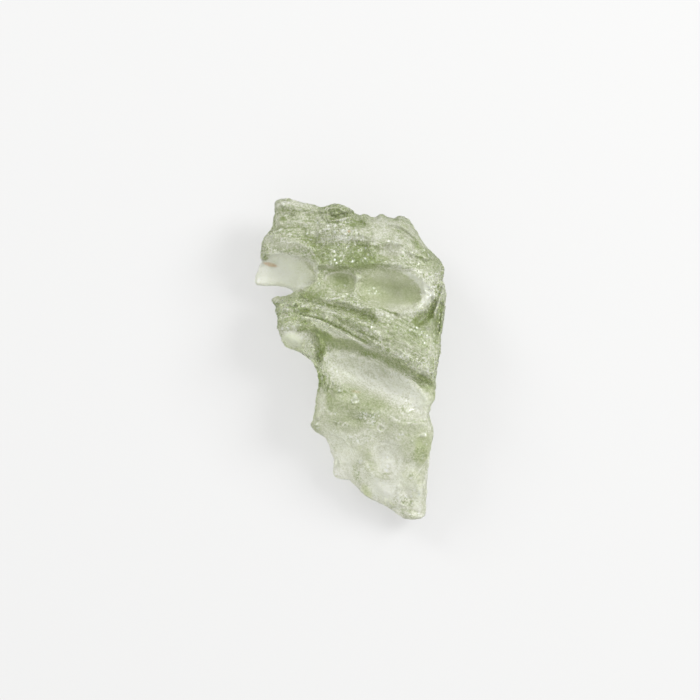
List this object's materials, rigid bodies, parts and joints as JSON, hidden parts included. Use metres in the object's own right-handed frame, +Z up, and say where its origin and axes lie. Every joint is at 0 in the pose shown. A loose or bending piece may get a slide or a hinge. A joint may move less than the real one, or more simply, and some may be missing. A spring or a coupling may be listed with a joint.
{
  "type": "moldavite",
  "caption": "Raw moldavite: a translucent pale green tektite glass shard with scooped hollows, fluted ridges, an etched skin and a narrow split tip, lying on its back.",
  "frame": {"origin": "under the middle of the bounding box, on the surface the stone lies on", "axes": "+Z up, out of the sculpted face; +Y along the length, from the narrow tip to the broad rough end; +X to the side of the straight split edge"},
  "size_m": [0.0152, 0.0258, 0.0074],
  "materials": {
    "moldavite_glass": "naturally etched translucent green glass, frosted on the ridges and glossy in the hollows"
  },
  "bodies": {
    "root": {"moldavite": "moldavite_glass"}
  },
  "joints": []
}
